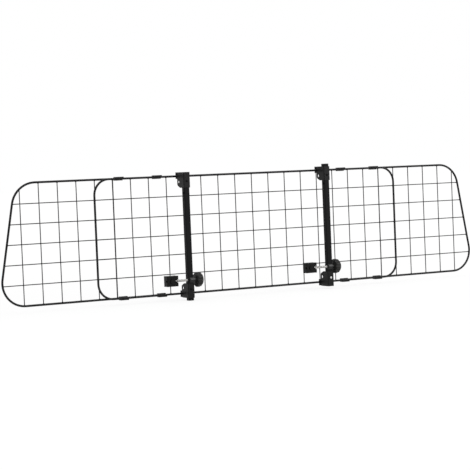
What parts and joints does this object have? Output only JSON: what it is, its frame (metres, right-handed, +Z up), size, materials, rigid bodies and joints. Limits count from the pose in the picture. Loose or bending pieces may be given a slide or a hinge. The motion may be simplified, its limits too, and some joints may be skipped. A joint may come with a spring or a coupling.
{
  "type": "car dog guard",
  "caption": "Extending welded-wire guard for a car's boot: a mesh panel with two sliding side wings and two square uprights that clamp to headrest posts.",
  "frame": {"origin": "under the middle of the whole guard, at the height of its lowest point", "axes": "+X to the right seen from the uprights' side, +Y away from that viewer, through the mesh, +Z up"},
  "size_m": [1.4136, 0.068, 0.337],
  "materials": {
    "frame_coat": "satin black powder coat over welded steel wire",
    "post_coat": "fine-textured black powder coat over square steel tube",
    "moulded_black": "moulded black plastic, lightly grained",
    "knob_plastic": "moulded black plastic, slightly warm and a little glossier",
    "zinc_steel": "bright zinc-plated steel"
  },
  "bodies": {
    "centre_panel": {"centre_frame": "frame_coat", "centre_upright_wires": "frame_coat", "centre_cross_wires": "frame_coat"},
    "left_wing": {"left_wing_frame": "frame_coat", "left_wing_upright_wires": "frame_coat", "left_wing_cross_wires": "frame_coat", "left_top_outer_clip": "moulded_black", "left_top_inner_clip": "moulded_black", "left_bottom_outer_clip": "moulded_black", "left_bottom_inner_clip": "moulded_black"},
    "left_post": {"left_post_tube": "post_coat", "left_post_cap": "moulded_black", "left_fixed_hook": "moulded_black", "left_fixed_hook_screw": "post_coat"},
    "left_slide_hook": {"left_slide_hook": "moulded_black", "left_slide_hook_screw": "post_coat"},
    "left_clamp": {"left_clamp_saddle": "knob_plastic"},
    "left_knob": {"left_star_knob": "knob_plastic", "left_clamp_stud": "zinc_steel", "left_knob_washer": "zinc_steel"},
    "left_jaw": {"left_clamp_jaw": "knob_plastic", "left_jaw_nut": "zinc_steel"},
    "right_wing": {"right_wing_frame": "frame_coat", "right_wing_upright_wires": "frame_coat", "right_wing_cross_wires": "frame_coat", "right_top_outer_clip": "moulded_black", "right_top_inner_clip": "moulded_black", "right_bottom_outer_clip": "moulded_black", "right_bottom_inner_clip": "moulded_black"},
    "right_post": {"right_post_tube": "post_coat", "right_post_cap": "moulded_black", "right_fixed_hook": "moulded_black", "right_fixed_hook_screw": "zinc_steel"},
    "right_slide_hook": {"right_slide_hook": "moulded_black", "right_slide_hook_screw": "post_coat"},
    "right_clamp": {"right_clamp_saddle": "knob_plastic"},
    "right_knob": {"right_star_knob": "knob_plastic", "right_clamp_stud": "zinc_steel", "right_knob_washer": "zinc_steel"},
    "right_jaw": {"right_clamp_jaw": "knob_plastic", "right_jaw_nut": "zinc_steel"}
  },
  "joints": [
    {"name": "left_wing_slide", "type": "slide", "parent": "centre_panel", "child": "left_wing", "axis": [1, 0, 0], "range_m": [-0.018, 0.25]},
    {"name": "left_post_slide", "type": "slide", "parent": "centre_panel", "child": "left_post", "axis": [1, 0, 0], "range_m": [-0.185, 0.12]},
    {"name": "left_hook_slide", "type": "slide", "parent": "left_post", "child": "left_slide_hook", "axis": [0, 0, -1], "range_m": [-0.001, 0.012]},
    {"name": "left_clamp_slide", "type": "slide", "parent": "left_post", "child": "left_clamp", "axis": [1, 0, 0], "range_m": [-0.0035, 0.003]},
    {"name": "left_knob_turn", "type": "hinge", "parent": "left_clamp", "child": "left_knob", "pos_m": [-0.2105, -0.01482, 0.053], "axis": [-1, 0, 0], "range_deg": [-2160, 7560]},
    {"name": "left_jaw_travel", "type": "slide", "parent": "left_clamp", "child": "left_jaw", "axis": [1, 0, 0], "range_m": [-0.0061, 0.0211]},
    {"name": "right_wing_slide", "type": "slide", "parent": "centre_panel", "child": "right_wing", "axis": [-1, 0, 0], "range_m": [-0.01, 0.25]},
    {"name": "right_post_slide", "type": "slide", "parent": "centre_panel", "child": "right_post", "axis": [1, 0, 0], "range_m": [-0.12, 0.185]},
    {"name": "right_hook_slide", "type": "slide", "parent": "right_post", "child": "right_slide_hook", "axis": [0, 0, 1], "range_m": [-0.001, 0.012]},
    {"name": "right_clamp_slide", "type": "slide", "parent": "right_post", "child": "right_clamp", "axis": [1, 0, 0], "range_m": [-0.0003, 0.0062]},
    {"name": "right_knob_turn", "type": "hinge", "parent": "right_clamp", "child": "right_knob", "pos_m": [0.2063, -0.01482, 0.06], "axis": [-1, 0, 0], "range_deg": [-1080, 8640]},
    {"name": "right_jaw_travel", "type": "slide", "parent": "right_clamp", "child": "right_jaw", "axis": [1, 0, 0], "range_m": [-0.0031, 0.0241]}
  ],
  "couplings": [
    {"joint": "left_jaw_travel", "follows": "left_knob_turn", "m_per_rad": 0.00015915},
    {"joint": "right_jaw_travel", "follows": "right_knob_turn", "m_per_rad": 0.00015915}
  ]
}
